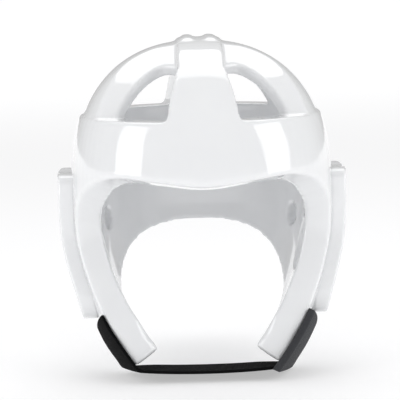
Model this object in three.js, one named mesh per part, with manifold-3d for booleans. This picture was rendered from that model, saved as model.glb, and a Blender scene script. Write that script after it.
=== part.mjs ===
// Taekwondo headgear: a dipped foam shell, two ear guards, a chin strap and its fastening tab.
// Millimetres, +Z up. The wearer faces -Y, and the wearer's left is +X.
// The origin is the crown of the hollow, where the shell sits on the head.
import * as THREE from 'three';
import { mergeVertices } from 'three/addons/utils/BufferGeometryUtils.js';
import Module from 'manifold-3d';

const wasm = await Module();
wasm.setup();

// Shell, measured over the outside of the foam
const shellWidth = 203;
const shellDepth = 238;
const shellHeight = 248;      // crown to the middle of the jaw's end
const crownRise = 110;        // crown down to the widest level
const crownFullness = 2.3;    // exponent of the dome's profile, 2 would be an ellipse
const sectionFullness = 2.4;  // exponent of the level sections
const foamWall = 20;
const jawWall = 24;           // foam at the jaw's end
const jawWallFrom = 170;      // drop where the wall starts to thicken
const panelStep = 2.5;        // the crown's panels lie this far below the strip and the bands
const bandTop = 58;           // top edge of the brow and nape bands, below the crown

// Level sections below the widest level, as shares of its half width and half depth.
// Level 0 is the widest one, level 1 the jaw's end, and the rest closes the form.
const sections = [
  { level: 0, width: 1, front: 1, back: 1 },
  { level: 0.15, width: 1, front: 0.995, back: 0.995 },
  { level: 0.3, width: 0.988, front: 0.98, back: 0.985 },
  { level: 0.45, width: 0.95, front: 0.95, back: 0.955 },
  { level: 0.6, width: 0.9, front: 0.92, back: 0.91 },
  { level: 0.75, width: 0.835, front: 0.9, back: 0.85 },
  { level: 0.9, width: 0.73, front: 0.885, back: 0.79 },
  { level: 1, width: 0.635, front: 0.88, back: 0.75 },
  { level: 1.15, width: 0.49, front: 0.87, back: 0.68 },
  { level: 1.3, width: 0.35, front: 0.86, back: 0.6 },
];

// Face opening: heading in degrees from the brow's middle, drop as a share of the shell's height,
// and flare, how far the inner edge lies below the outer one, as a share of the wall
const faceEdge = [
  { heading: 0, drop: 0.423, flare: 0.2 },
  { heading: 17, drop: 0.406, flare: 0.25 },
  { heading: 33, drop: 0.395, flare: 0.3 },
  { heading: 44, drop: 0.413, flare: 0.33 },
  { heading: 54, drop: 0.45, flare: 0.4 },
  { heading: 61.5, drop: 0.488, flare: 0.45 },
  { heading: 65, drop: 0.544, flare: 0.25 },
  { heading: 65.5, drop: 0.605, flare: 0 },
  { heading: 62.5, drop: 0.698, flare: 0 },
  { heading: 54, drop: 0.81, flare: 0 },
  { heading: 46.5, drop: 0.883, flare: 0 },
  { heading: 36, drop: 0.988, flare: 0 },
  { heading: 24, drop: 1.09, flare: 0 },
  { heading: 0, drop: 1.13, flare: 0 },
];

// Lower rim, seen from the side: back from the axis as a share of half the depth,
// and drop as a share of the shell's height, from the nape to the jaw's heel
const rimEdge = [
  { back: 1, drop: 0.603 },
  { back: 0.88, drop: 0.61 },
  { back: 0.78, drop: 0.64 },
  { back: 0.45, drop: 0.748 },
  { back: -0.1, drop: 0.917 },
  { back: -0.19, drop: 0.985 },
  { back: -0.24, drop: 1.008 },
];

// Jaw ends
const jawFront = 73;          // the front corner lies this far in front of the axis
const jawDepth = 48;          // from there back to the heel
const jawLean = 31.5;         // degrees that the jaw leans in, seen from the front
const jawHeelTilt = 5.5;      // degrees that its end falls towards the back

// Centre strip and the two ribs on it
const stripWidth = 34;        // across the crown
const stripFlare = 62;        // at its ends
const stripStraight = 146;    // length of its narrow stretch
const ribWidth = 7;
const ribLength = 60;
const ribHeight = 2;
const ribSpacing = 18;

// Vents, one in each quarter of the crown: directions in degrees from the centre of the widest
// level, of the hole's edge and of the upper edge of the slope that leads down to it
const ventLip = 9;            // foam left at the hole's edge
const ventEdge = [
  { heading: 43, rise: 18, slopeHeading: 50, slopeRise: 15 },
  { heading: 43, rise: 27.8, slopeHeading: 51.5, slopeRise: 26.4 },
  { heading: 42.6, rise: 36, slopeHeading: 53.5, slopeRise: 36 },
  { heading: 40.6, rise: 45.8, slopeHeading: 57.2, slopeRise: 46.5 },
  { heading: 37.5, rise: 53.4, slopeHeading: 63, slopeRise: 57 },
  { heading: 32, rise: 58.1, slopeHeading: 56, slopeRise: 67 },
  { heading: 20.7, rise: 57.7, slopeHeading: 35, slopeRise: 71.4 },
  { heading: 4, rise: 57, slopeHeading: 8, slopeRise: 73 },
  { heading: 4, rise: 18, slopeHeading: 4, slopeRise: 15 },
];

// Ear guards, with their outline from the side as shares of their own depth and height
const guardThickness = 10.5;
const guardDepth = 93;
const guardTop = 104;         // below the crown
const guardToJawEnd = 34;     // from the guard's lowest edge down to the jaw's end
const guardMiddle = 0.5;      // behind the axis
const guardEdge = [
  { across: 0.13, down: 0 },
  { across: 0.5, down: -0.005 },
  { across: 0.86, down: 0 },
  { across: 0.985, down: 0.12 },
  { across: 1, down: 0.431 },
  { across: 0.925, down: 0.672 },
  { across: 0.731, down: 0.83 },
  { across: 0.409, down: 1 },
  { across: 0.05, down: 0.965 },
  { across: 0, down: 0.819 },
  { across: 0.086, down: 0.603 },
  { across: 0.12, down: 0.345 },
  { across: 0.11, down: 0.09 },
];

// Ear opening through guard and shell, and the round hole behind the guard
const earOpeningDepth = 32;
const earOpeningHeight = 38;
const earOpeningBack = 2;
const earOpeningDrop = 165;
const sideHoleDiameter = 17;
const sideHoleBack = 55;
const sideHoleDrop = 148.5;

// Chin strap and fastening tab
const strapWidth = 45;
const strapThickness = 2.2;
const strapBelowGuard = 0.7;  // its top edge's middle lies this far below the guard's lowest edge
const strapSlant = 24;        // degrees that it leans forward, seen from the side
const strapBack = 18;         // its middle lies this far behind the jaw's front corner
const strapSag = 2;           // at the middle of its free stretch
const strapStandOff = 2.5;    // its rear edge stands this far off the jaw
const strapClip = 9;          // cut off its rear top corners
const clipStart = 0.3;        // share of its width behind the middle where that cut begins
const tabThickness = 2.2;
const tabOverhang = 3;        // free end below the jaw

const seatGap = 0.3;          // between pieces that touch

// Colours and finishes
const dippedWhite = new THREE.MeshStandardMaterial({ color: '#f1f2f4', roughness: 0.22, metalness: 0 });
const guardWhite = new THREE.MeshStandardMaterial({ color: '#eceef1', roughness: 0.25, metalness: 0 });
const blackWebbing = new THREE.MeshStandardMaterial({ color: '#1c1c1e', roughness: 0.85, metalness: 0 });
const greyLoop = new THREE.MeshStandardMaterial({ color: '#3f4043', roughness: 0.95, metalness: 0 });

// Mesh density
const headings = 48;
const rings = 26;
const roundSides = 24;
const faceSidesPerRow = 2;
const ventSidesPerRow = 4;
const guardSidesPerRow = 3;
const strapSteps = 32;
const tabSteps = 10;
const stepsAcross = 8;

const degree = Math.PI / 180;
const halfWidth = shellWidth / 2;
const halfDepth = shellDepth / 2;
const skirt = shellHeight - crownRise;
const lowestLevel = sections[sections.length - 1].level;
const guardHeight = shellHeight - guardToJawEnd - guardTop;
const clearOfAll = shellWidth + shellDepth + shellHeight;

function height(drop) {
  return foamWall - drop;
}

// Reads a column of a table smoothly between its rows.
function readTable(table, key, column, at) {
  let i = 0;
  while (i < table.length - 2 && at > table[i + 1][key]) {
    i += 1;
  }
  const a = table[i];
  const b = table[i + 1];
  const before = table[i - 1] ?? a;
  const after = table[i + 2] ?? b;
  const span = b[key] - a[key];
  const t = THREE.MathUtils.clamp((at - a[key]) / span, 0, 1);
  const slopeA = (span * (b[column] - before[column])) / (b[key] - before[key]);
  const slopeB = (span * (after[column] - a[column])) / (after[key] - a[key]);
  const rise = b[column] - a[column];
  return a[column] + t * (slopeA + t * (3 * rise - 2 * slopeA - slopeB + t * (slopeA + slopeB - 2 * rise)));
}

// Half width and half depths of the level section at a drop below the crown.
function sectionAt(drop) {
  if (drop < crownRise) {
    const share = Math.max(1e-6, 1 - (1 - drop / crownRise) ** crownFullness) ** (1 / crownFullness);
    return { width: halfWidth * share, front: halfDepth * share, back: halfDepth * share };
  }
  const level = (drop - crownRise) / skirt;
  return {
    width: halfWidth * readTable(sections, 'level', 'width', level),
    front: halfDepth * readTable(sections, 'level', 'front', level),
    back: halfDepth * readTable(sections, 'level', 'back', level),
  };
}

// Distance from the axis to a section's edge, in a direction given from the brow towards +X.
function reach(section, heading) {
  const across = Math.abs(Math.sin(heading)) / section.width;
  const along = Math.abs(Math.cos(heading)) / (Math.cos(heading) > 0 ? section.front : section.back);
  return (across ** sectionFullness + along ** sectionFullness) ** (-1 / sectionFullness);
}

// Turn runs from 0 at the crown through 1 at the widest level to 2 at the closed bottom.
function dropOfTurn(turn) {
  if (turn < 1) {
    return crownRise * (1 - Math.cos((turn * Math.PI) / 2) ** (2 / crownFullness));
  }
  return crownRise + (turn - 1) * lowestLevel * skirt;
}

function turnOfDrop(drop) {
  if (drop < crownRise) {
    return Math.acos((1 - drop / crownRise) ** (crownFullness / 2)) / (Math.PI / 2);
  }
  return 1 + (drop - crownRise) / (lowestLevel * skirt);
}

// A point of the shell's outer form.
function outside(heading, turn) {
  const drop = dropOfTurn(turn);
  const r = reach(sectionAt(drop), heading);
  return new THREE.Vector3(r * Math.sin(heading), -r * Math.cos(heading), height(drop));
}

function outward(heading, turn) {
  const step = 1e-3;
  if (turn < 2 * step) {
    return new THREE.Vector3(0, 0, 1);
  }
  const down = outside(heading, turn + step).sub(outside(heading, turn - step));
  const round = outside(heading + step, turn).sub(outside(heading - step, turn));
  return down.cross(round).normalize();
}

// The same form, moved in by inset along its own normals.
function offForm(heading, turn, inset) {
  return outside(heading, turn).addScaledVector(outward(heading, turn), -inset);
}

// Heading and turn of the outer form's point at +X, at a place back from the axis and a drop.
function sidePlace(back, drop) {
  const section = sectionAt(drop);
  const depth = back < 0 ? section.front : section.back;
  const left = Math.max(0, 1 - (Math.abs(back) / depth) ** sectionFullness);
  const x = section.width * left ** (1 / sectionFullness);
  return { heading: Math.atan2(x, -back), turn: turnOfDrop(drop) };
}

// A closed geometry becomes a solid, turned right side out if its faces point in.
function solidFrom(geometry) {
  geometry.deleteAttribute('normal');
  geometry.deleteAttribute('uv');
  const merged = mergeVertices(geometry, 1e-4);
  const points = merged.attributes.position;
  const corners = Uint32Array.from(merged.index.array);
  const [a, b, c] = [new THREE.Vector3(), new THREE.Vector3(), new THREE.Vector3()];
  let volume = 0;
  for (let i = 0; i < corners.length; i += 3) {
    a.fromBufferAttribute(points, corners[i]);
    b.fromBufferAttribute(points, corners[i + 1]);
    c.fromBufferAttribute(points, corners[i + 2]);
    volume += a.dot(b.cross(c));
  }
  if (volume < 0) {
    for (let i = 0; i < corners.length; i += 3) {
      [corners[i], corners[i + 1]] = [corners[i + 1], corners[i]];
    }
  }
  const vertProperties = Float32Array.from(points.array);
  return new wasm.Manifold(new wasm.Mesh({ numProp: 3, vertProperties, triVerts: corners }));
}

function mapped(geometry, place) {
  const points = geometry.attributes.position;
  for (let i = 0; i < points.count; i += 1) {
    const p = place(points.getX(i), points.getY(i), points.getZ(i));
    points.setXYZ(i, p.x, p.y, p.z);
  }
  return geometry;
}

// The whole closed form, at an inset that may depend on the drop, before anything is cut from it.
function closedForm(insetAt) {
  const ball = new THREE.SphereGeometry(1, headings, rings);
  return solidFrom(mapped(ball, (x, y, z) => {
    const turn = (2 * Math.acos(THREE.MathUtils.clamp(y, -1, 1))) / Math.PI;
    const drop = dropOfTurn(turn);
    if (Math.hypot(x, z) < 1e-6) {
      return new THREE.Vector3(0, 0, turn < 1 ? height(insetAt(0)) : height(drop));
    }
    return offForm(Math.atan2(x, z), turn, insetAt(drop));
  }));
}

// The wall thickens down the jaw.
function wallAt(drop) {
  const share = THREE.MathUtils.clamp((drop - jawWallFrom) / (shellHeight - jawWallFrom), 0, 1);
  return THREE.MathUtils.lerp(foamWall, jawWall, share);
}

function block(width, depth, tall, x, y, z) {
  return solidFrom(new THREE.BoxGeometry(width, depth, tall).translate(x, y, z));
}

// A side outline, in back and height, drawn out along X.
function acrossSides(shape, from, to) {
  const bar = new THREE.ExtrudeGeometry(shape, { depth: to - from, bevelEnabled: false });
  return solidFrom(mapped(bar, (x, y, z) => new THREE.Vector3(z + from, x, y)));
}

// A tube of four rings: outline gives the four points of a direction round it.
function ringed(sides, outline, firstEnd, lastEnd) {
  const drum = new THREE.CylinderGeometry(1, 1, 1, sides, 3);
  return solidFrom(mapped(drum, (x, y, z) => {
    const ring = Math.round((0.5 - y) * 3);
    if (Math.hypot(x, z) < 0.5) {
      return ring === 0 ? firstEnd : lastEnd;
    }
    const share = Math.round((Math.atan2(x, z) / (2 * Math.PI) + 1) * sides) % sides;
    return outline(share / sides)[ring];
  }));
}

// Cuts the face opening, with its sides along the wall's thickness.
function faceCut() {
  const right = faceEdge.map((row) => new THREE.Vector3(
    row.heading * degree * halfWidth,
    row.drop * shellHeight,
    row.flare * foamWall,
  ));
  const left = right.slice(1, -1).reverse().map((p) => new THREE.Vector3(-p.x, p.y, p.z));
  const edge = new THREE.CatmullRomCurve3([...right, ...left], true, 'centripetal');
  const outline = (share) => {
    const p = edge.getPoint(share);
    const heading = p.x / halfWidth;
    const outer = outside(heading, turnOfDrop(p.y));
    const inner = offForm(heading, turnOfDrop(p.y + p.z), foamWall);
    return [-0.35, 0, 1, 2.6].map((t) => inner.clone().lerp(outer, t));
  };
  const middle = height(0.7 * shellHeight);
  const inEnd = new THREE.Vector3(0, -0.3 * halfDepth, middle);
  const outEnd = new THREE.Vector3(0, -2.8 * halfDepth, middle);
  return ringed(faceSidesPerRow * edge.points.length, outline, inEnd, outEnd);
}

// Point of the crown's form in a direction from the centre of the widest level.
function crownPoint(heading, rise, inset) {
  const flat = Math.cos(rise) / reach(sectionAt(crownRise), heading);
  const up = Math.sin(rise) / crownRise;
  const r = (flat ** crownFullness + up ** crownFullness) ** (-1 / crownFullness) - inset;
  const level = r * Math.cos(rise);
  return new THREE.Vector3(
    level * Math.sin(heading),
    -level * Math.cos(heading),
    height(crownRise) + r * Math.sin(rise),
  );
}

// Cuts one vent: straight through at the hole, and sloped from there up to the outer edge.
function ventCut(side, end) {
  const clear = 0.5 * crownRise;
  const holeEdge = ventEdge.map((row) => new THREE.Vector3(row.heading, row.rise, 0));
  const slopeEdge = ventEdge.map((row) => new THREE.Vector3(row.slopeHeading, row.slopeRise, 0));
  const hole = new THREE.CatmullRomCurve3(holeEdge, true, 'centripetal');
  const slope = new THREE.CatmullRomCurve3(slopeEdge, true, 'centripetal');
  const turned = (p) => new THREE.Vector3(side * p.x, end * p.y, p.z);
  const outline = (share) => {
    const h = hole.getPoint(share).multiplyScalar(degree);
    const s = slope.getPoint(share).multiplyScalar(degree);
    const deep = crownPoint(h.x, h.y, 0.9 * clear);
    const lip = crownPoint(h.x, h.y, foamWall - ventLip);
    const top = crownPoint(s.x, s.y, panelStep);
    const above = crownPoint(s.x, s.y, panelStep - foamWall);
    return [deep, lip, top, above].map(turned);
  };
  const middle = ventEdge.reduce((sum, row) => sum + row.rise, 0) / ventEdge.length;
  const heading = ventEdge.reduce((sum, row) => sum + row.heading, 0) / ventEdge.length;
  const [inEnd, outEnd] = [clear, -clear].map(
    (inset) => turned(crownPoint(heading * degree, middle * degree, inset)),
  );
  return ringed(ventSidesPerRow * ventEdge.length, outline, inEnd, outEnd);
}

// The strip's outline from above, drawn out along Z.
function stripForm() {
  const far = halfDepth + foamWall;
  const shape = new THREE.Shape();
  shape.moveTo(stripWidth / 2, -stripStraight / 2);
  shape.lineTo(stripWidth / 2, stripStraight / 2);
  shape.lineTo(stripFlare / 2, halfDepth);
  shape.lineTo(stripFlare / 2, far);
  shape.lineTo(-stripFlare / 2, far);
  shape.lineTo(-stripFlare / 2, halfDepth);
  shape.lineTo(-stripWidth / 2, stripStraight / 2);
  shape.lineTo(-stripWidth / 2, -stripStraight / 2);
  shape.lineTo(-stripFlare / 2, -halfDepth);
  shape.lineTo(-stripFlare / 2, -far);
  shape.lineTo(stripFlare / 2, -far);
  shape.lineTo(stripFlare / 2, -halfDepth);
  const bar = new THREE.ExtrudeGeometry(shape, { depth: clearOfAll, bevelEnabled: false });
  return solidFrom(bar.translate(0, 0, height(crownRise)));
}

// Everything below the lower rim and the jaw's end, seen from the side.
function rimCut() {
  const points = rimEdge.map((row) => new THREE.Vector2(row.back * halfDepth, height(row.drop * shellHeight)));
  const ahead = 0.5 * halfDepth;
  const below = height(jawEndDrop(-jawFront)) - foamWall / 4;
  const shape = new THREE.Shape();
  shape.moveTo(clearOfAll / 2, points[0].y);
  shape.lineTo(points[0].x, points[0].y);
  shape.splineThru(points.slice(1));
  shape.lineTo(-jawFront, below);
  shape.lineTo(-jawFront - ahead, below + ahead * Math.tan(jawHeelTilt * degree));
  shape.lineTo(-jawFront - ahead, -clearOfAll);
  shape.lineTo(clearOfAll / 2, -clearOfAll);
  return acrossSides(shape, -shellWidth, shellWidth);
}

// Drop of the jaw's outer end edge at a place back from the axis.
function jawEndDrop(back) {
  return shellHeight + (back + jawFront - jawDepth / 2) * Math.tan(jawHeelTilt * degree);
}

// Squares off one jaw's end: the cut runs along the outer end edge and leans in with the jaw.
function jawEndCut(side) {
  const onForm = (back) => {
    const { heading, turn } = sidePlace(back, jawEndDrop(back));
    return outside(heading, turn);
  };
  const middle = onForm(jawDepth / 2 - jawFront);
  const backward = onForm(jawDepth - jawFront).sub(onForm(-jawFront)).normalize();
  const lean = jawLean * degree;
  const inward = new THREE.Vector3(-Math.cos(lean), 0, Math.sin(lean));
  const up = backward.clone().cross(inward).normalize();
  const across = backward.clone().cross(up);
  const size = 2 * jawDepth;
  const end = new THREE.BoxGeometry(size, 2 * size, size);
  end.translate(size / 2 - 0.8 * jawDepth, 0, -size / 2);
  return solidFrom(mapped(end, (x, y, z) => {
    const p = middle.clone().addScaledVector(across, x).addScaledVector(backward, y).addScaledVector(up, z);
    return p.setX(side * p.x);
  }));
}

function earOpening() {
  const shape = new THREE.Shape();
  const z = height(earOpeningDrop);
  shape.absellipse(earOpeningBack, z, earOpeningDepth / 2, earOpeningHeight / 2, 0, 2 * Math.PI, false, 0);
  return shape;
}

function sideHole(side) {
  const { heading, turn } = sidePlace(sideHoleBack, sideHoleDrop);
  const direction = outward(heading, turn);
  const drill = new THREE.CylinderGeometry(
    sideHoleDiameter / 2,
    sideHoleDiameter / 2,
    4 * foamWall,
    roundSides,
  );
  const turned = new THREE.Quaternion().setFromUnitVectors(new THREE.Vector3(0, 1, 0), direction);
  const middle = outside(heading, turn);
  drill.applyQuaternion(turned).translate(middle.x, middle.y, middle.z);
  return solidFrom(mapped(drill, (x, y, z) => new THREE.Vector3(side * x, y, z)));
}

function makeShell() {
  const full = closedForm(() => 0);
  const low = block(clearOfAll, clearOfAll, clearOfAll, 0, 0, height(bandTop) - clearOfAll / 2);
  const high = closedForm(() => -ribHeight);
  let foam = closedForm(() => panelStep);
  for (const side of [-1, 1]) {
    for (const end of [-1, 1]) {
      foam = foam.subtract(ventCut(side, end));
    }
  }
  foam = foam.add(full.intersect(low.add(stripForm())));
  for (const side of [-1, 1]) {
    const x = (side * ribSpacing) / 2;
    foam = foam.add(high.intersect(block(ribWidth, ribLength, foamWall, x, 0, height(0))));
  }
  foam = foam.subtract(closedForm(wallAt)).subtract(faceCut()).subtract(rimCut());
  for (const side of [-1, 1]) {
    foam = foam.subtract(jawEndCut(side)).subtract(sideHole(side));
  }
  return foam.subtract(acrossSides(earOpening(), -shellWidth, shellWidth));
}

function makeEarGuard(side) {
  const front = guardMiddle - guardDepth / 2;
  const points = guardEdge.map((row) => new THREE.Vector3(
    front + row.across * guardDepth,
    height(guardTop + row.down * guardHeight),
    0,
  ));
  const edge = new THREE.CatmullRomCurve3(points, true, 'centripetal');
  const shape = new THREE.Shape(edge.getPoints(guardSidesPerRow * points.length).slice(0, -1).map(
    (p) => new THREE.Vector2(p.x, p.y),
  ));
  const from = side > 0 ? halfWidth / 4 : -shellWidth;
  const to = side > 0 ? shellWidth : -halfWidth / 4;
  const pad = closedForm(() => -seatGap - guardThickness).subtract(closedForm(() => -seatGap));
  return pad.intersect(acrossSides(shape, from, to)).subtract(acrossSides(earOpening(), from, to));
}

// A lane of the strap's inner face, up the jaw at +X: share 0 at the top edge, 1 at the jaw's end.
function jawLane(across, share, lift) {
  const lean = strapSlant * degree;
  const wide = across * strapWidth;
  const middle = strapBack - jawFront;
  const endBack = middle + wide;
  const endDrop = jawEndDrop(endBack);
  const topMiddle = guardTop + guardHeight + strapBelowGuard;
  const up = jawEndDrop(middle) - topMiddle;
  const topBack = middle + up * Math.tan(lean) + wide * Math.cos(lean);
  const topDrop = topMiddle + wide * Math.sin(lean);
  const clipped = (strapClip / up) * Math.max(0, (across - clipStart) / (0.5 - clipStart));
  const down = clipped + share * (1 - clipped);
  const { heading, turn } = sidePlace(
    THREE.MathUtils.lerp(topBack, endBack, down),
    THREE.MathUtils.lerp(topDrop, endDrop, down),
  );
  return offForm(heading, turn, -lift - strapStandOff * (across + 0.5) ** 2);
}

// A lane from the top edge at +X, round the jaw's end and under the chin to the middle.
function halfLane(across) {
  const lane = [0, 0.25, 0.5, 0.75, 1].map((share) => jawLane(across, share, seatGap));
  const corner = lane[lane.length - 1];
  const back = corner.y;
  const turned = Math.min(corner.z, height(jawEndDrop(back)) - seatGap) - seatGap;
  lane.push(new THREE.Vector3(corner.x - strapThickness, back, turned));
  const under = height(jawEndDrop(back)) - 2 * seatGap;
  for (const inward of [0.65, 0.35, 0]) {
    lane.push(new THREE.Vector3(inward * corner.x, back, under - strapSag * (1 - inward ** 2)));
  }
  return lane;
}

// A band through curves: lane gives the one at each place across it, and its thickness lies outwards.
function band(lane, steps, thickness) {
  const curves = new Map();
  const curveAt = (across) => {
    const key = across.toFixed(4);
    if (!curves.has(key)) {
      curves.set(key, new THREE.CatmullRomCurve3(lane(across), false, 'centripetal'));
    }
    return curves.get(key);
  };
  const step = 0.01;
  const slab = new THREE.BoxGeometry(1, 1, 1, steps, stepsAcross, 1);
  return solidFrom(mapped(slab, (x, y, z) => {
    const along = x + 0.5;
    const before = Math.max(0, along - step);
    const after = Math.min(1, along + step);
    const forward = curveAt(y).getPoint(after).sub(curveAt(y).getPoint(before));
    const low = Math.max(-0.5, y - step);
    const high = Math.min(0.5, y + step);
    const sideways = curveAt(high).getPoint(along).sub(curveAt(low).getPoint(along));
    const normal = forward.cross(sideways).normalize();
    return curveAt(y).getPoint(along).clone().addScaledVector(normal, (z + 0.5) * thickness);
  }));
}

function makeChinStrap() {
  const lane = (across) => {
    const half = halfLane(across);
    const other = half.slice(0, -1).reverse().map((p) => new THREE.Vector3(-p.x, p.y, p.z));
    return [...half, ...other];
  };
  return band(lane, strapSteps, strapThickness);
}

function makeFasteningTab() {
  const lift = 3 * seatGap + strapThickness;
  const lane = (across) => {
    const points = [0, 0.25, 0.5, 0.75, 1].map((share) => jawLane(across, share, lift));
    const last = points[points.length - 1];
    const way = last.clone().sub(points[points.length - 2]).normalize();
    points.push(last.clone().addScaledVector(way, tabOverhang));
    return points;
  };
  return band(lane, tabSteps, tabThickness);
}

function meshOf(solid, name, material) {
  const { vertProperties, triVerts } = solid.getMesh();
  const geometry = new THREE.BufferGeometry();
  geometry.setAttribute('position', new THREE.BufferAttribute(vertProperties, 3));
  geometry.setIndex(new THREE.BufferAttribute(triVerts, 1));
  geometry.computeVertexNormals();
  const mesh = new THREE.Mesh(geometry, material);
  mesh.name = name;
  return mesh;
}

const group = new THREE.Group();
group.add(meshOf(makeShell(), 'shell', dippedWhite));
group.add(meshOf(makeEarGuard(1), 'ear_guard_left', guardWhite));
group.add(meshOf(makeEarGuard(-1), 'ear_guard_right', guardWhite));
group.add(meshOf(makeChinStrap(), 'chin_strap', blackWebbing));
group.add(meshOf(makeFasteningTab(), 'fastening_tab', greyLoop));

export default group;
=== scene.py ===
"""Taekwondo headgear: a dipped foam shell, two ear guards, a chin strap and its fastening tab.

Metres, +Z up. The wearer faces -Y, and the origin is the top of the hollow that holds the head.
"""
import math
from collections import namedtuple

import bmesh
import bpy
from mathutils import Matrix, Vector, noise


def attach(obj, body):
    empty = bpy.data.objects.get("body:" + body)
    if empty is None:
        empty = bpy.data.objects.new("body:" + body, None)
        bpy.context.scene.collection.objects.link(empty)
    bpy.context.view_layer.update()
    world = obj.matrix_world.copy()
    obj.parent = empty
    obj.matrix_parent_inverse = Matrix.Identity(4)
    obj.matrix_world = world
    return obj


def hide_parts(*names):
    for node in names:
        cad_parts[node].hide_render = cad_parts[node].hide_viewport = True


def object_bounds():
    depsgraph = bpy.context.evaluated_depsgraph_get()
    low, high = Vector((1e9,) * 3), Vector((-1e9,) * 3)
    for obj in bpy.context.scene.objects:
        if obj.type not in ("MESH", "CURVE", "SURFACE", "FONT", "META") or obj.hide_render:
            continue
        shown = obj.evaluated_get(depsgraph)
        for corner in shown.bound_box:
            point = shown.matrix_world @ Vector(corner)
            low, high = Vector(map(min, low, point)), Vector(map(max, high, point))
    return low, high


bl_info = {
    "name": "Taekwondo Headgear",
    "version": (1, 0, 0),
    "blender": (4, 5, 0),
    "location": "3D View > Sidebar > Headgear",
    "description": "Builds a dipped foam head guard, its chin strap and a studio",
    "category": "Add Mesh",
}

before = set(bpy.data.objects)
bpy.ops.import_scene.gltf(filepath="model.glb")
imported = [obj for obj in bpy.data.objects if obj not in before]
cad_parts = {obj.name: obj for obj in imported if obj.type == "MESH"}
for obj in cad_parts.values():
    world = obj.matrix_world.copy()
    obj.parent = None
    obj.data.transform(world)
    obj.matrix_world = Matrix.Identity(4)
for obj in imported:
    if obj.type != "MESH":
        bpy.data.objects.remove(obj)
CAD_BOX = [list(corner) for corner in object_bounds()]

MM = 0.001

# Level sections below the widest level, as shares of its half width and half depth
Section = namedtuple("Section", "level width front back")
SECTIONS = (
    Section(0, 1, 1, 1),
    Section(0.15, 1, 0.995, 0.995),
    Section(0.3, 0.988, 0.98, 0.985),
    Section(0.45, 0.95, 0.95, 0.955),
    Section(0.6, 0.9, 0.92, 0.91),
    Section(0.75, 0.835, 0.9, 0.85),
    Section(0.9, 0.73, 0.885, 0.79),
    Section(1, 0.635, 0.88, 0.75),
    Section(1.15, 0.49, 0.87, 0.68),
    Section(1.3, 0.35, 0.86, 0.6),
)

# Face opening: heading in degrees from the brow's middle, drop as a share of the shell's height,
# and flare, how far the inner edge lies below the outer one, as a share of the wall
FaceRow = namedtuple("FaceRow", "heading drop flare")
FACE_EDGE = (
    FaceRow(0, 0.423, 0.2),
    FaceRow(17, 0.406, 0.25),
    FaceRow(33, 0.395, 0.3),
    FaceRow(44, 0.413, 0.33),
    FaceRow(54, 0.45, 0.4),
    FaceRow(61.5, 0.488, 0.45),
    FaceRow(65, 0.544, 0.25),
    FaceRow(65.5, 0.605, 0),
    FaceRow(62.5, 0.698, 0),
    FaceRow(54, 0.81, 0),
    FaceRow(46.5, 0.883, 0),
    FaceRow(36, 0.988, 0),
    FaceRow(24, 1.09, 0),
    FaceRow(0, 1.13, 0),
)

# Lower rim from the nape to the jaw's heel: back as a share of half the depth, drop of the height
RimRow = namedtuple("RimRow", "back drop")
RIM_EDGE = (
    RimRow(1, 0.603),
    RimRow(0.88, 0.61),
    RimRow(0.78, 0.64),
    RimRow(0.45, 0.748),
    RimRow(-0.1, 0.917),
    RimRow(-0.19, 0.985),
    RimRow(-0.24, 1.008),
)

# Vents: directions in degrees from the centre of the widest level, of the hole and of its slope
VentRow = namedtuple("VentRow", "heading rise slope_heading slope_rise")
VENT_EDGE = (
    VentRow(43, 18, 50, 15),
    VentRow(43, 27.8, 51.5, 26.4),
    VentRow(42.6, 36, 53.5, 36),
    VentRow(40.6, 45.8, 57.2, 46.5),
    VentRow(37.5, 53.4, 63, 57),
    VentRow(32, 58.1, 56, 67),
    VentRow(20.7, 57.7, 35, 71.4),
    VentRow(4, 57, 8, 73),
    VentRow(4, 18, 4, 15),
)

# Ear guard outline from the side, as shares of its depth and height
GuardRow = namedtuple("GuardRow", "across down")
GUARD_EDGE = (
    GuardRow(0.13, 0),
    GuardRow(0.5, -0.005),
    GuardRow(0.86, 0),
    GuardRow(0.985, 0.12),
    GuardRow(1, 0.431),
    GuardRow(0.925, 0.672),
    GuardRow(0.731, 0.83),
    GuardRow(0.409, 1),
    GuardRow(0.05, 0.965),
    GuardRow(0, 0.819),
    GuardRow(0.086, 0.603),
    GuardRow(0.12, 0.345),
    GuardRow(0.11, 0.09),
)

# Lamps that look at the object: degrees with azimuth 0 in front, metres and watts
Lamp = namedtuple("Lamp", "name azimuth elevation distance width height power mirrored")
LAMPS = (
    Lamp("key_left", -60, 14, 1.3, 0.7, 1.2, 4.6, True),
    Lamp("key_right", 60, 14, 1.3, 0.7, 1.2, 4.6, True),
    Lamp("top", 0, 112, 1.3, 1.2, 1, 4.6, True),
    Lamp("fill", 0, -3, 2.4, 2.4, 0.6, 9, False),
)

# Fineness of the surfaces
HEADINGS = 96
RINGS = 52
FACE_SIDES_PER_ROW = 6
VENT_SIDES_PER_ROW = 8
GUARD_SIDES_PER_ROW = 8
EAR_SIDES = 48
HOLE_SIDES = 40
RIM_STEPS = 30
FLOOR_SIDES = 96
STRAP_CELLS = (128, 12)
TAB_CELLS = (40, 72)

LOWEST = SECTIONS[-1].level
# Rings of the face opening's tool across the wall: 0 at its inner side, 1 at its outer side
FACE_TOOL_RINGS = (-0.35, 0, 1, 2.6)
# Bands in one unit of a wave texture at scale 1
WAVE_BANDS = 3.2


def length(name, description, default):
    """Length in metres."""
    return bpy.props.FloatProperty(
        name=name, description=description, default=default, min=0, unit="LENGTH", precision=4
    )


def degrees(name, description, default):
    """Angle, given in degrees."""
    return bpy.props.FloatProperty(
        name=name, description=description, default=math.radians(default), subtype="ANGLE"
    )


def number(name, description, default):
    """Plain number."""
    return bpy.props.FloatProperty(name=name, description=description, default=default)


def passes(name, description, default):
    """Number of smoothing passes."""
    return bpy.props.IntProperty(name=name, description=description, default=default, min=0)


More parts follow.
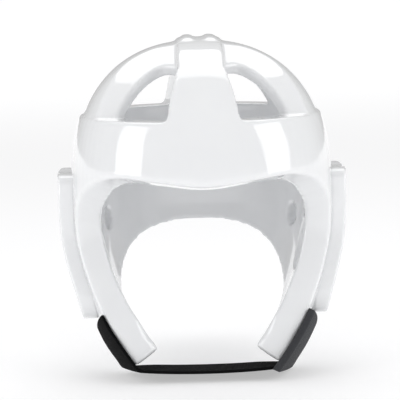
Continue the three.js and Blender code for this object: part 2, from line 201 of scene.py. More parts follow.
def linear(code):
    """Linear red, green and blue of an sRGB hex colour."""
    parts = [int(code[i:i + 2], 16) / 255 for i in (1, 3, 5)]
    return tuple(c / 12.92 if c <= 0.04045 else ((c + 0.055) / 1.055) ** 2.4 for c in parts)


def colour(name, description, code):
    """Colour, given as an sRGB hex code."""
    return bpy.props.FloatVectorProperty(
        name=name, description=description, default=linear(code), subtype="COLOR", min=0, max=1
    )


class HeadgearShell(bpy.types.PropertyGroup):
    """Sizes of the foam shell and its ear guards."""
    width: length("Width", "Ear to ear over the foam", 203 * MM)
    depth: length("Depth", "Brow to nape over the foam", 238 * MM)
    height: length("Height", "Crown to the middle of the jaw's end", 248 * MM)
    crown_rise: length("Crown Rise", "Crown down to the widest level", 110 * MM)
    crown_fullness: number("Crown Fullness", "Exponent of the dome's profile", 2.3)
    section_fullness: number("Section Fullness", "Exponent of the level sections", 2.4)
    wall: length("Wall", "Thickness of the foam", 20 * MM)
    jaw_wall: length("Jaw Wall", "Foam at the jaw's end", 24 * MM)
    jaw_wall_from: length("Jaw Wall Start", "Drop where the wall starts to thicken", 170 * MM)
    panel_step: length("Panel Step", "How far the crown's panels lie below the bands", 2.5 * MM)
    band_top: length("Band Top", "Top edge of the brow and nape bands below the crown", 58 * MM)
    jaw_front: length("Jaw Front", "Front corner in front of the axis", 73 * MM)
    jaw_depth: length("Jaw Depth", "Front corner back to the heel", 48 * MM)
    jaw_lean: degrees("Jaw Lean", "How far the jaw leans in, seen from the front", 31.5)
    heel_tilt: degrees("Heel Tilt", "Fall of the jaw's end towards the back", 5.5)
    strip_width: length("Strip Width", "Centre strip across the crown", 34 * MM)
    strip_flare: length("Strip Flare", "Centre strip at its ends", 62 * MM)
    strip_straight: length("Strip Straight", "Narrow stretch of the strip", 146 * MM)
    rib_width: length("Rib Width", "Width of a crown rib", 7 * MM)
    rib_length: length("Rib Length", "Length of a crown rib", 60 * MM)
    rib_height: length("Rib Height", "Height of a crown rib", 2 * MM)
    rib_spacing: length("Rib Spacing", "Distance between the crown ribs", 18 * MM)
    vent_lip: length("Vent Lip", "Foam left at a vent's hole", 9 * MM)
    guard_thickness: length("Guard Thickness", "Thickness of an ear guard", 10.5 * MM)
    guard_depth: length("Guard Depth", "Ear guard from front to back", 93 * MM)
    guard_height: length("Guard Height", "Ear guard from top to bottom", 110 * MM)
    guard_top: length("Guard Top", "Ear guard's top edge below the crown", 104 * MM)
    guard_middle: length("Guard Middle", "Ear guard's middle behind the axis", 0.5 * MM)
    ear_depth: length("Ear Opening Depth", "Ear opening from front to back", 32 * MM)
    ear_height: length("Ear Opening Height", "Ear opening from top to bottom", 38 * MM)
    ear_back: length("Ear Opening Back", "Ear opening behind the axis", 2 * MM)
    ear_drop: length("Ear Opening Drop", "Ear opening below the crown", 165 * MM)
    hole_diameter: length("Side Hole", "Diameter of the hole behind each guard", 17 * MM)
    hole_back: length("Side Hole Back", "Side hole behind the axis", 55 * MM)
    hole_drop: length("Side Hole Drop", "Side hole below the crown", 148.5 * MM)
    bedding: length("Bedding", "How far the guards' rounded edges sink into the skin", 1.5 * MM)
    seat_gap: length("Seat Gap", "Gap between pieces that touch", 0.3 * MM)


class HeadgearStrap(bpy.types.PropertyGroup):
    """Sizes of the chin strap and its fastening tab."""
    width: length("Width", "Width of the webbing", 45 * MM)
    thickness: length("Thickness", "Thickness of the webbing", 2.2 * MM)
    top: length("Top", "Middle of the top edge below the crown", 214.7 * MM)
    slant: degrees("Slant", "Forward lean seen from the side", 24)
    back: length("Back", "Middle behind the jaw's front corner", 18 * MM)
    sag: length("Sag", "Sag of the free stretch", 2 * MM)
    stand_off: length("Stand-off", "Gap that opens at the rear edge on the jaw", 2.5 * MM)
    clip: length("Clip", "Cut off the rear top corners", 9 * MM)
    clip_start: number("Clip Start", "Where it starts, as a share of the width from the middle", 0.3)
    tab_thickness: length("Tab Thickness", "Thickness of the fastening tab", 2.2 * MM)
    tab_wrap: length("Tab Wrap", "Tab's margin that wraps over the strap's edge", 1.6 * MM)
    tab_overhang: length("Tab Overhang", "Tab's free end below the jaw", 3 * MM)


class HeadgearFinish(bpy.types.PropertyGroup):
    """Colours and surface detail."""
    skin: colour("Skin", "Dipped vinyl skin", "#ecedee")
    skin_shade: colour("Skin Shade", "Faint clouding of the skin", "#e6e7e9")
    webbing: colour("Webbing", "Black polyester webbing", "#0a0a0b")
    # Painted sheen: the lighter colour that the webbing's thread crowns get
    webbing_painted_sheen: colour("Webbing Light", "Crowns of its threads", "#161617")
    pile: colour("Pile", "Dark loop pile", "#2c2d2f")
    # Painted highlight: the lighter colour that the pile's fibre tips get
    pile_painted_highlight: colour("Pile Light", "Tips of the pile", "#47484b")
    paper: colour("Paper", "Studio paper", "#cbcbcc")
    cloud_size: length("Cloud Size", "Size of the skin's clouding", 30 * MM)
    peel_size: length("Peel Size", "Size of the skin's orange peel", 4 * MM)
    rib_pitch: length("Rib Pitch", "Webbing's ribs, wider than real ones so that they show", 1.6 * MM)
    thread_pitch: length("Thread Pitch", "Webbing's threads along the band", 1.3 * MM)
    loop_size: length("Loop Size", "Pile's loops, wider than real ones so that they show", 1 * MM)
    voxel: length("Voxel", "Size of the fine surface's cells", 1.2 * MM)
    guard_voxel: length("Guard Voxel", "Cells of the ear guards", 1 * MM)
    rounding: passes("Rounding", "Smoothing of the shell's edges", 22)
    guard_rounding: passes("Guard Rounding", "Smoothing of the ear guards' edges", 12)
    jaw_rounding: passes("Jaw Rounding", "Further smoothing of the jaw's ends", 40)
    jaw_reach: length("Jaw Reach", "Height of the jaw's ends that are smoothed further", 36 * MM)
    jaw_fade: length("Jaw Fade", "Top stretch of that height where it fades out", 12 * MM)
    waviness: length("Waviness", "Unevenness of the shell's skin", 0.12 * MM)
    guard_waviness: length("Guard Waviness", "Unevenness of the ear guards' skin", 0.1 * MM)
    wave_length: length("Wave Length", "Size of the skin's unevenness", 34 * MM)


class HeadgearStudio(bpy.types.PropertyGroup):
    """Camera and floor."""
    distance: length("Distance", "Camera from the object", 1.4)
    elevation: degrees("Elevation", "Camera above the horizon", 7)
    yaw: degrees("Yaw", "Camera towards the wearer's right", 1.5)
    roll: degrees("Roll", "Tilt of the picture", 1.35)
    focal: number("Focal Length", "Lens in millimetres on a 36 mm sensor", 160.5)
    aim_drop: length("Aim", "Aimed point below the crown", 128 * MM)
    aim_side: length("Aim Side", "Aimed point towards the wearer's right", 1.2 * MM)
    floor_gap: length("Floor Gap", "Floor below the chin strap", 1 * MM)
    floor_radius: length("Floor Radius", "Half width of the round floor", 80)


def table_value(table, key, column, at):
    """Reads a column of a table smoothly between its rows."""
    i = 0
    while i < len(table) - 2 and at > getattr(table[i + 1], key):
        i += 1
    a, b = table[i], table[i + 1]
    before, after = table[max(i - 1, 0)], table[min(i + 2, len(table) - 1)]
    span = getattr(b, key) - getattr(a, key)
    t = min(max((at - getattr(a, key)) / span, 0), 1)
    va, vb = getattr(a, column), getattr(b, column)
    slope_a = span * (vb - getattr(before, column)) / (getattr(b, key) - getattr(before, key))
    slope_b = span * (getattr(after, column) - va) / (getattr(after, key) - getattr(a, key))
    rise = vb - va
    return va + t * (slope_a + t * (3 * rise - 2 * slope_a - slope_b + t * (slope_a + slope_b - 2 * rise)))


class Form:
    """The shell's outer form, worked out from its sizes."""

    def __init__(self, sizes):
        self.s = sizes

    def z(self, drop):
        """Height of a drop below the crown."""
        return self.s.wall - drop

    def section(self, drop):
        """Half width, half depth in front and half depth behind at a drop."""
        s = self.s
        half_width, half_depth = s.width / 2, s.depth / 2
        if drop < s.crown_rise:
            p = s.crown_fullness
            share = max(1e-6, 1 - (1 - drop / s.crown_rise) ** p) ** (1 / p)
            return half_width * share, half_depth * share, half_depth * share
        level = (drop - s.crown_rise) / (s.height - s.crown_rise)
        return (
            half_width * table_value(SECTIONS, "level", "width", level),
            half_depth * table_value(SECTIONS, "level", "front", level),
            half_depth * table_value(SECTIONS, "level", "back", level),
        )

    def reach(self, section, heading):
        """Radius of a section at a heading."""
        width, front, back = section
        n = self.s.section_fullness
        across = abs(math.sin(heading)) / width
        along = abs(math.cos(heading)) / (front if math.cos(heading) > 0 else back)
        return (across ** n + along ** n) ** (-1 / n)

    def drop_of_turn(self, turn):
        """Drop at a turn: 0 at the crown, 1 at the widest level, 2 at the lowest section."""
        s = self.s
        if turn < 1:
            return s.crown_rise * (1 - max(math.cos(turn * math.pi / 2), 0) ** (2 / s.crown_fullness))
        return s.crown_rise + (turn - 1) * LOWEST * (s.height - s.crown_rise)

    def turn_of_drop(self, drop):
        """Turn at a drop."""
        s = self.s
        if drop < s.crown_rise:
            return math.acos((1 - drop / s.crown_rise) ** (s.crown_fullness / 2)) / (math.pi / 2)
        return 1 + (drop - s.crown_rise) / (LOWEST * (s.height - s.crown_rise))

    def outside(self, heading, turn):
        """Point of the outer surface."""
        drop = self.drop_of_turn(turn)
        r = self.reach(self.section(drop), heading)
        return Vector((r * math.sin(heading), -r * math.cos(heading), self.z(drop)))

    def outward(self, heading, turn):
        """Normal of the outer surface."""
        step = 1e-3
        if turn < 2 * step:
            return Vector((0, 0, 1))
        down = self.outside(heading, turn + step) - self.outside(heading, turn - step)
        around = self.outside(heading + step, turn) - self.outside(heading - step, turn)
        return down.cross(around).normalized()

    def off(self, heading, turn, inset):
        """Point at an inset from the outer surface."""
        return self.outside(heading, turn) - inset * self.outward(heading, turn)

    def side_place(self, back, drop):
        """Heading and turn at +X of a place that is given as seen from the side."""
        width, front, rear = self.section(drop)
        n = self.s.section_fullness
        left = max(0, 1 - (abs(back) / (front if back < 0 else rear)) ** n)
        return math.atan2(width * left ** (1 / n), -back), self.turn_of_drop(drop)

    def crown_point(self, heading, rise, inset):
        """Point of the dome in a direction from the centre of the widest level."""
        s = self.s
        p = s.crown_fullness
        flat = math.cos(rise) / self.reach(self.section(s.crown_rise), heading)
        r = (flat ** p + (math.sin(rise) / s.crown_rise) ** p) ** (-1 / p) - inset
        level = r * math.cos(rise)
        height = self.z(s.crown_rise) + r * math.sin(rise)
        return Vector((level * math.sin(heading), -level * math.cos(heading), height))

    def wall_at(self, drop):
        """Wall at a drop: it thickens down the jaw."""
        s = self.s
        share = min(max((drop - s.jaw_wall_from) / (s.height - s.jaw_wall_from), 0), 1)
        return s.wall + share * (s.jaw_wall - s.wall)

    def jaw_end_drop(self, back):
        """Drop of the jaw's end, which falls towards the back."""
        s = self.s
        return s.height + (back + s.jaw_front - s.jaw_depth / 2) * math.tan(s.heel_tilt)


def through(points, share, closed=True):
    """Point of a smooth curve through points, at a share of the way along them."""
    count = len(points)
    place = share * (count if closed else count - 1)
    start = int(place) if closed else min(int(place), count - 2)
    t = place - start

    def at(i):
        if closed:
            return points[i % count]
        if i < 0:
            return 2 * points[0] - points[1]
        if i > count - 1:
            return 2 * points[-1] - points[-2]
        return points[i]

    p0, p1, p2, p3 = (at(start + i) for i in (-1, 0, 1, 2))
    d1 = max((p2 - p1).length ** 0.5, 1e-6)
    d0 = max((p1 - p0).length ** 0.5, 1e-6)
    d2 = max((p3 - p2).length ** 0.5, 1e-6)
    m1 = ((p1 - p0) / d0 - (p2 - p0) / (d0 + d1) + (p2 - p1) / d1) * d1
    m2 = ((p2 - p1) / d1 - (p3 - p1) / (d1 + d2) + (p3 - p2) / d2) * d1
    rise = p2 - p1
    return p1 + t * (m1 + t * (3 * rise - 2 * m1 - m2 + t * (m1 + m2 - 2 * rise)))


def new_object(name, mesh):
    """Object from a bmesh, which it frees."""
    data = bpy.data.meshes.new(name)
    mesh.to_mesh(data)
    mesh.free()
    made = bpy.data.objects.new(name, data)
    bpy.context.scene.collection.objects.link(made)
    return made


def settle(piece):
    """Applies a piece's modifiers to its mesh."""
    seen = piece.evaluated_get(bpy.context.evaluated_depsgraph_get())
    finished = bpy.data.meshes.new_from_object(seen)
    old = piece.data
    piece.modifiers.clear()
    piece.data = finished
    bpy.data.meshes.remove(old)
    finished.name = piece.name


def carve(body, tool, operation):
    """Joins, cuts or crosses a body with a tool, and drops the tool."""
    step = body.modifiers.new(operation.title(), "BOOLEAN")
    step.operation = operation
    step.solver = "MANIFOLD"
    step.object = tool
    settle(body)
    if not body.data.polygons:
        raise RuntimeError(f"{body.name}: nothing is left after {operation} with {tool.name}")
    bpy.data.objects.remove(tool)


def closed_form(form, inset, name):
    """The whole closed form at an inset, which may be a function of the drop."""
    inset_at = inset if callable(inset) else lambda drop: inset
    mesh = bmesh.new()
    bmesh.ops.create_uvsphere(mesh, u_segments=HEADINGS, v_segments=RINGS, radius=1)
    for v in mesh.verts:
        turn = 2 * math.acos(min(max(v.co.z, -1), 1)) / math.pi
        if math.hypot(v.co.x, v.co.y) < 1e-5:
            v.co = (0, 0, form.z(inset_at(0)) if turn < 1 else form.z(form.drop_of_turn(2)))
        else:
            v.co = form.off(math.atan2(v.co.x, -v.co.y), turn, inset_at(form.drop_of_turn(turn)))
    return new_object(name, mesh)


def add_ringed(mesh, rings, first_end, last_end):
    """Adds a closed body through rings of points, with a fan at each end."""
    sides = len(rings[0])
    drum = bmesh.new()
    bmesh.ops.create_circle(drum, cap_ends=True, cap_tris=True, segments=sides, radius=1)
    top = drum.verts[:] + drum.edges[:] + drum.faces[:]
    for _ in rings[1:]:
        top = bmesh.ops.extrude_face_region(drum, geom=top)["geom"]
        verts = [g for g in top if isinstance(g, bmesh.types.BMVert)]
        bmesh.ops.translate(drum, verts=verts, vec=(0, 0, 1))
    for v in drum.verts:
        level = round(v.co.z)
        if math.hypot(v.co.x, v.co.y) < 0.5:
            v.co = first_end if level == 0 else last_end
        else:
            v.co = rings[level][round(math.atan2(v.co.y, v.co.x) / (2 * math.pi) * sides) % sides]
    drum.normal_update()
    bmesh.ops.recalc_face_normals(drum, faces=drum.faces)
    join_into(mesh, drum)


def join_into(mesh, other):
    """Adds another bmesh to mesh and frees it."""
    data = bpy.data.meshes.new("joined")
    other.to_mesh(data)
    other.free()
    mesh.from_mesh(data)
    bpy.data.meshes.remove(data)


def add_prism(mesh, points, drawn):
    """Adds a closed prism: an outline drawn out along a vector."""
    bar = bmesh.new()
    outline = bar.faces.new([bar.verts.new(p) for p in points])
    made = bmesh.ops.extrude_face_region(bar, geom=[outline])["geom"]
    bmesh.ops.translate(bar, verts=[g for g in made if isinstance(g, bmesh.types.BMVert)], vec=drawn)
    bar.normal_update()
    bmesh.ops.recalc_face_normals(bar, faces=bar.faces)
    join_into(mesh, bar)


def add_block(mesh, size, middle):
    """Adds a box of a size round its middle."""
    made = bmesh.ops.create_cube(mesh, size=1)["verts"]
    bmesh.ops.scale(mesh, verts=made, vec=size)
    bmesh.ops.translate(mesh, verts=made, vec=middle)


def face_cut(form):
    """Tool that cuts the face opening, with its sides along the wall's thickness."""
    s = form.s
    right = [
        Vector((math.radians(row.heading) * s.width / 2, row.drop * s.height, row.flare * s.wall))
        for row in FACE_EDGE
    ]
    left = [Vector((-p.x, p.y, p.z)) for p in reversed(right[1:-1])]
    points = right + left
    sides = FACE_SIDES_PER_ROW * len(points)
    rings = [[], [], [], []]
    for k in range(sides):
        p = through(points, k / sides)
        heading = p.x / (s.width / 2)
        outer = form.outside(heading, form.turn_of_drop(p.y))
        inner = form.off(heading, form.turn_of_drop(p.y + p.z), s.wall)
        for ring, t in zip(rings, FACE_TOOL_RINGS):
            ring.append(inner.lerp(outer, t))
    middle = form.z(0.7 * s.height)
    mesh = bmesh.new()
    add_ringed(mesh, rings, Vector((0, -0.15 * s.depth, middle)), Vector((0, -1.4 * s.depth, middle)))
    return new_object("face_cut", mesh)


def vent_cuts(form):
    """Tool that cuts the four vents: straight at the hole, and sloped from there outwards."""
    s = form.s
    holes = [Vector((row.heading, row.rise, 0)) for row in VENT_EDGE]
    slopes = [Vector((row.slope_heading, row.slope_rise, 0)) for row in VENT_EDGE]
    sides = VENT_SIDES_PER_ROW * len(VENT_EDGE)
    centre = sum(holes, Vector()) / len(holes)
    mesh = bmesh.new()
    for side in (-1, 1):
        for end in (-1, 1):
            turned = Matrix.Diagonal((side, end, 1))
            rings = [[], [], [], []]
            for k in range(sides):
                hole = through(holes, k / sides) * math.radians(1)
                slope = through(slopes, k / sides) * math.radians(1)
                deep = form.crown_point(hole.x, hole.y, 0.45 * s.crown_rise)
                lip = form.crown_point(hole.x, hole.y, s.wall - s.vent_lip)
                top = form.crown_point(slope.x, slope.y, s.panel_step)
                above = form.crown_point(slope.x, slope.y, s.panel_step - s.wall)
                for ring, point in zip(rings, (deep, lip, top, above)):
                    ring.append(turned @ point)
            ends = [
                turned @ form.crown_point(math.radians(centre.x), math.radians(centre.y), inset)
                for inset in (0.5 * s.crown_rise, -0.5 * s.crown_rise)
            ]
            add_ringed(mesh, rings, *ends)
    return new_object("vent_cuts", mesh)


def raised_areas(form):
    """Tool that holds the bands and the centre strip, which stand proud of the panels."""
    s = form.s
    reach = s.width + s.depth + s.height
    mesh = bmesh.new()
    add_block(mesh, (reach, reach, reach), (0, 0, form.z(s.band_top) - reach / 2))
    bands = new_object("bands", mesh)
    corner = [
        (s.strip_width / 2, s.strip_straight / 2),
        (s.strip_flare / 2, s.depth / 2),
        (s.strip_flare / 2, s.depth / 2 + s.wall),
    ]
    rear = corner + [(-x, y) for x, y in reversed(corner)]
    outline = rear + [(-x, -y) for x, y in rear]
    mesh = bmesh.new()
    low = form.z(s.crown_rise)
    add_prism(mesh, [Vector((x, y, low)) for x, y in outline], Vector((0, 0, reach)))
    carve(bands, new_object("strip", mesh), "UNION")
    return bands


def ear_opening(form, start, drawn):
    """Adds the ear opening's outline, drawn out along X from a start."""
    s = form.s
    points = []
    for k in range(EAR_SIDES):
        a = 2 * math.pi * k / EAR_SIDES
        y = s.ear_back + s.ear_depth / 2 * math.cos(a)
        points.append(Vector((start, y, form.z(s.ear_drop) + s.ear_height / 2 * math.sin(a))))
    mesh = bmesh.new()
    add_prism(mesh, points, Vector((drawn, 0, 0)))
    return mesh


def side_cuts(form):
    """Tool that cuts the ear openings, the round side holes and the jaw's ends."""
    s = form.s
    mesh = ear_opening(form, -s.width, 2 * s.width)
    heading, turn = form.side_place(s.hole_back, s.hole_drop)
    towards = form.outward(heading, turn).to_track_quat("Z", "Y").to_matrix().to_4x4()
    drill = bmesh.new()
    bmesh.ops.create_cone(
        drill, cap_ends=True, segments=HOLE_SIDES, radius1=s.hole_diameter / 2,
        radius2=s.hole_diameter / 2, depth=4 * s.wall,
        matrix=Matrix.Translation(form.outside(heading, turn)) @ towards,
    )
    on_edge = [
        form.outside(*form.side_place(back, form.jaw_end_drop(back)))
        for back in (-s.jaw_front, s.jaw_depth / 2 - s.jaw_front, s.jaw_depth - s.jaw_front)
    ]
    backward = (on_edge[2] - on_edge[0]).normalized()
    inward = Vector((-math.cos(s.jaw_lean), 0, math.sin(s.jaw_lean)))
    up = backward.cross(inward).normalized()
    across = backward.cross(up)
    size = 2 * s.jaw_depth
    end = bmesh.ops.create_cube(drill, size=size)["verts"]
    bmesh.ops.scale(drill, verts=end, vec=(1, 2, 1))
    bmesh.ops.translate(drill, verts=end, vec=(size / 2 - 0.8 * s.jaw_depth, 0, -size / 2))
    for v in end:
        v.co = on_edge[1] + v.co.x * across + v.co.y * backward + v.co.z * up
    bmesh.ops.mirror(drill, geom=drill.verts[:] + drill.edges[:] + drill.faces[:], axis="X", merge_dist=0)
    drill.normal_update()
    bmesh.ops.recalc_face_normals(drill, faces=drill.faces)
    join_into(mesh, drill)
    return new_object("side_cuts", mesh)


def rim_cut(form):
    """Tool that cuts everything below the lower rim and the jaw's end."""
    s = form.s
    rows = [Vector((row.back * s.depth / 2, form.z(row.drop * s.height), 0)) for row in RIM_EDGE]
    smooth = [through(rows[1:], k / RIM_STEPS, closed=False) for k in range(RIM_STEPS + 1)]
    ahead = 0.25 * s.depth
    below = form.z(form.jaw_end_drop(-s.jaw_front)) - s.wall / 4
    far = s.depth
    outline = [(far, rows[0].y), (rows[0].x, rows[0].y)]
    outline += [(p.x, p.y) for p in smooth]
    outline += [
        (-s.jaw_front, below),
        (-s.jaw_front - ahead, below + ahead * math.tan(s.heel_tilt)),
        (-s.jaw_front - ahead, -2 * s.height),
        (far, -2 * s.height),
    ]
    mesh = bmesh.new()
    add_prism(mesh, [Vector((-s.width, y, z)) for y, z in outline], Vector((2 * s.width, 0, 0)))
    return new_object("rim_cut", mesh)


def dipped(piece, voxel, rounding, waviness, wave_length):
    """Rounds every edge as a dipped skin does, and gives the skin its slight unevenness."""
    cells = piece.modifiers.new("Skin", "REMESH")
    cells.mode = "VOXEL"
    cells.voxel_size = voxel
    relaxed = piece.modifiers.new("Rounding", "SMOOTH")
    relaxed.factor = 0.5
    relaxed.iterations = rounding
    settle(piece)
    mesh = bmesh.new()
    mesh.from_mesh(piece.data)
    mesh.normal_update()
    for v in mesh.verts:
        place = v.co / wave_length
        swell = noise.noise(place) + 0.4 * noise.noise(2.7 * place)
        v.co += v.normal * (waviness * swell)
    for face in mesh.faces:
        face.smooth = True
    mesh.to_mesh(piece.data)
    mesh.free()


def round_jaw_ends(form, shell, finish):
    """Rounds the jaw's ends further than the other edges, and fades out above them."""
    mesh = bmesh.new()
    mesh.from_mesh(shell.data)
    for k in range(finish.jaw_rounding):
        reach = finish.jaw_reach - finish.jaw_fade * k / finish.jaw_rounding
        low = [v for v in mesh.verts if v.co.z < form.z(form.s.height - reach)]
        bmesh.ops.smooth_vert(
            mesh, verts=low, factor=0.5, use_axis_x=True, use_axis_y=True, use_axis_z=True
        )
    mesh.to_mesh(shell.data)
    mesh.free()


def add_node(tree, kind, settings=None, links=None):
    """Adds a node, with values for its sockets or settings and links from other nodes' outputs."""
    node = tree.nodes.new(kind)
    for key, value in (settings or {}).items():
        if isinstance(key, str) and hasattr(node, key):
            setattr(node, key, value)
        else:
            node.inputs[key].default_value = value
    for key, output in (links or {}).items():
        tree.links.new(output, node.inputs[key])
    return node


def new_material(name):
    """Empty node material, with its surface output."""
    material = bpy.data.materials.new(name)
    material.use_nodes = True
    tree = material.node_tree
    tree.nodes.clear()
    return material, tree, tree.nodes.new("ShaderNodeOutputMaterial")


def dipped_vinyl(finish):
    """White vinyl skin, dipped over foam: wet-looking gloss over a faint orange peel."""
    material, tree, out = new_material("dipped_vinyl")
    place = add_node(tree, "ShaderNodeTexCoord").outputs["Object"]
    cloud = add_node(
        tree, "ShaderNodeTexNoise", {"Scale": 1 / finish.cloud_size, "Detail": 3.0}, {"Vector": place}
    )
    tint = add_node(tree, "ShaderNodeMix", {"data_type": "RGBA"}, {"Factor": cloud.outputs["Fac"]})
    tint.inputs["A"].default_value = (*finish.skin, 1)
    tint.inputs["B"].default_value = (*finish.skin_shade, 1)
    peel = add_node(
        tree, "ShaderNodeTexNoise", {"Scale": 1 / finish.peel_size, "Detail": 2.0}, {"Vector": place}
    )
    bump = add_node(
        tree, "ShaderNodeBump", {"Strength": 0.06, "Distance": 0.2 * MM}, {"Height": peel.outputs["Fac"]}
    )
    gloss = add_node(
        tree, "ShaderNodeMapRange", {"To Min": 0.07, "To Max": 0.12}, {"Value": cloud.outputs["Fac"]}
    )
    skin = add_node(
        tree, "ShaderNodeBsdfPrincipled", {"IOR": 1.65, "Coat Weight": 1.0, "Coat Roughness": 0.03},
        {"Base Color": tint.outputs["Result"], "Roughness": gloss.outputs["Result"],
         "Normal": bump.outputs["Normal"]},
    )
    tree.links.new(skin.outputs["BSDF"], out.inputs["Surface"])
    return material


def black_webbing(finish):
    """Plain-woven black polyester webbing: matt ribs across the band, with a faint painted sheen: the
    threads' crowns get a lighter colour.
    """
    material, tree, out = new_material("black_polyester_webbing")
    place = add_node(tree, "ShaderNodeUVMap", {"uv_map": "UVMap"}).outputs["UV"]
    ribs = add_node(
        tree, "ShaderNodeTexWave",
        {"wave_type": "BANDS", "bands_direction": "X", "Scale": 1 / (WAVE_BANDS * finish.rib_pitch),
         "Distortion": 0.6, "Detail": 1.0}, {"Vector": place},
    )
    threads = add_node(
        tree, "ShaderNodeTexWave",
        {"wave_type": "BANDS", "bands_direction": "Y", "Scale": 1 / (WAVE_BANDS * finish.thread_pitch),
         "Distortion": 0.4, "Detail": 1.0}, {"Vector": place},
    )
    weave = add_node(
        tree, "ShaderNodeMath", {"operation": "MULTIPLY"},
        {0: ribs.outputs["Fac"], 1: threads.outputs["Fac"]},
    )
    # Painted sheen: where the weave stands high, on the threads' crowns, the colour turns lighter
    tint = add_node(tree, "ShaderNodeMix", {"data_type": "RGBA"}, {"Factor": weave.outputs["Value"]})
    tint.inputs["A"].default_value = (*finish.webbing, 1)
    tint.inputs["B"].default_value = (*finish.webbing_painted_sheen, 1)
    bump = add_node(
        tree, "ShaderNodeBump", {"Strength": 0.7, "Distance": 0.3 * MM}, {"Height": weave.outputs["Value"]}
    )
    cloth = add_node(
        tree, "ShaderNodeBsdfPrincipled", {"Roughness": 0.9, "Specular IOR Level": 0.08},
        {"Base Color": tint.outputs["Result"], "Normal": bump.outputs["Normal"]},
    )
    tree.links.new(cloth.outputs["BSDF"], out.inputs["Surface"])
    return material


def loop_pile(finish):
    """Napped nylon loop of a hook and loop fastener: dull dark grey, in random tone with a painted
    highlight that makes the fibre tips lighter.
    """
    material, tree, out = new_material("nylon_loop_pile")
    place = add_node(tree, "ShaderNodeTexCoord").outputs["Object"]
    nap = add_node(
        tree, "ShaderNodeTexNoise", {"Scale": 1 / finish.loop_size, "Detail": 4.0, "Roughness": 0.7},
        {"Vector": place},
    )
    # Random tone and painted highlight: the same noise that raises the bump makes the pile lighter where it
    # stands high
    tint = add_node(tree, "ShaderNodeMix", {"data_type": "RGBA"}, {"Factor": nap.outputs["Fac"]})
    tint.inputs["A"].default_value = (*finish.pile, 1)
    tint.inputs["B"].default_value = (*finish.pile_painted_highlight, 1)
    bump = add_node(
        tree, "ShaderNodeBump", {"Strength": 0.9, "Distance": 0.5 * MM}, {"Height": nap.outputs["Fac"]}
    )
    fibre = add_node(
        tree, "ShaderNodeBsdfPrincipled",
        {"Roughness": 0.95, "Specular IOR Level": 0.1, "Sheen Weight": 0.1, "Sheen Roughness": 0.4},
        {"Base Color": tint.outputs["Result"], "Normal": bump.outputs["Normal"]},
    )
    tree.links.new(fibre.outputs["BSDF"], out.inputs["Surface"])
    return material


def studio_paper(finish):
    """Seamless studio paper: matt, and lit almost to white."""
    material, tree, out = new_material("studio_paper")
    place = add_node(tree, "ShaderNodeTexCoord").outputs["Object"]
    away = add_node(tree, "ShaderNodeVectorMath", {"operation": "LENGTH"}, {0: place})
    glow = add_node(
        tree, "ShaderNodeMapRange",
        {"interpolation_type": "SMOOTHSTEP", "From Min": 0.5, "From Max": 4.0, "To Min": 0.43,
         "To Max": 0.6},
        {"Value": away.outputs["Value"]},
    )
    sheet = add_node(
        tree, "ShaderNodeBsdfPrincipled",
        {"Base Color": (*finish.paper, 1), "Roughness": 0.9, "Specular IOR Level": 0.1,
         "Emission Color": (1, 1, 1, 1)}, {"Emission Strength": glow.outputs["Result"]},
    )
    tree.links.new(sheet.outputs["BSDF"], out.inputs["Surface"])
    return material


def strap_lane(form, strap, across, share, lift):
    """Point of a lane up the jaw at +X: share 0 at the top edge, 1 at the jaw's end."""
    s = form.s
    wide = across * strap.width
    middle = strap.back - s.jaw_front
    up = form.jaw_end_drop(middle) - strap.top
    top_back = middle + up * math.tan(strap.slant) + wide * math.cos(strap.slant)
    top_drop = strap.top + wide * math.sin(strap.slant)
    end_back = middle + wide
    clipped = strap.clip / up * max(0, (across - strap.clip_start) / (0.5 - strap.clip_start))
    down = clipped + share * (1 - clipped)
    back = top_back + (end_back - top_back) * down
    drop = top_drop + (form.jaw_end_drop(end_back) - top_drop) * down
    return form.off(*form.side_place(back, drop), -lift - strap.stand_off * (across + 0.5) ** 2)


def half_lane(form, strap, across):
    """Lane from the top edge at +X, round the jaw's end and under the chin to the middle."""
    s = form.s
    lane = [strap_lane(form, strap, across, share, s.seat_gap) for share in (0, 0.25, 0.5, 0.75, 1)]
    corner = lane[-1]
    turned = min(corner.z, form.z(form.jaw_end_drop(corner.y)) - s.seat_gap) - s.seat_gap
    lane.append(Vector((corner.x - strap.thickness, corner.y, turned)))
    under = form.z(form.jaw_end_drop(corner.y)) - 2 * s.seat_gap
    for inward in (0.65, 0.35, 0):
        lane.append(Vector((inward * corner.x, corner.y, under - strap.sag * (1 - inward ** 2))))
    return lane


def add_band(name, lane, cells, run, width, thickness):
    """Flat band over lanes, with its thickness outwards, rounded edges and a UV map in metres."""
    mesh = bmesh.new()
    mesh.loops.layers.uv.new("UVMap")
    bmesh.ops.create_grid(mesh, x_segments=cells[0], y_segments=cells[1], size=0.5, calc_uvs=True)
    uv = mesh.loops.layers.uv.active
    for face in mesh.faces:
        for loop in face.loops:
            loop[uv].uv = (loop[uv].uv.x * run, loop[uv].uv.y * width)
    lanes = {}
    for v in mesh.verts:
        across = round(v.co.y, 5)
        if across not in lanes:
            lanes[across] = lane(across)
        v.co = through(lanes[across], min(max(v.co.x + 0.5, 0), 1), closed=False)
    made = new_object(name, mesh)
    wall = made.modifiers.new("Thickness", "SOLIDIFY")
    wall.thickness = thickness
    wall.offset = 1
    wall.use_even_offset = True
    edge = made.modifiers.new("Edges", "BEVEL")
    edge.width = 0.3 * thickness
    edge.segments = 3
    edge.limit_method = "ANGLE"
    edge.angle_limit = math.radians(50)
    settle(made)
    for face in made.data.polygons:
        face.use_smooth = True
    return made


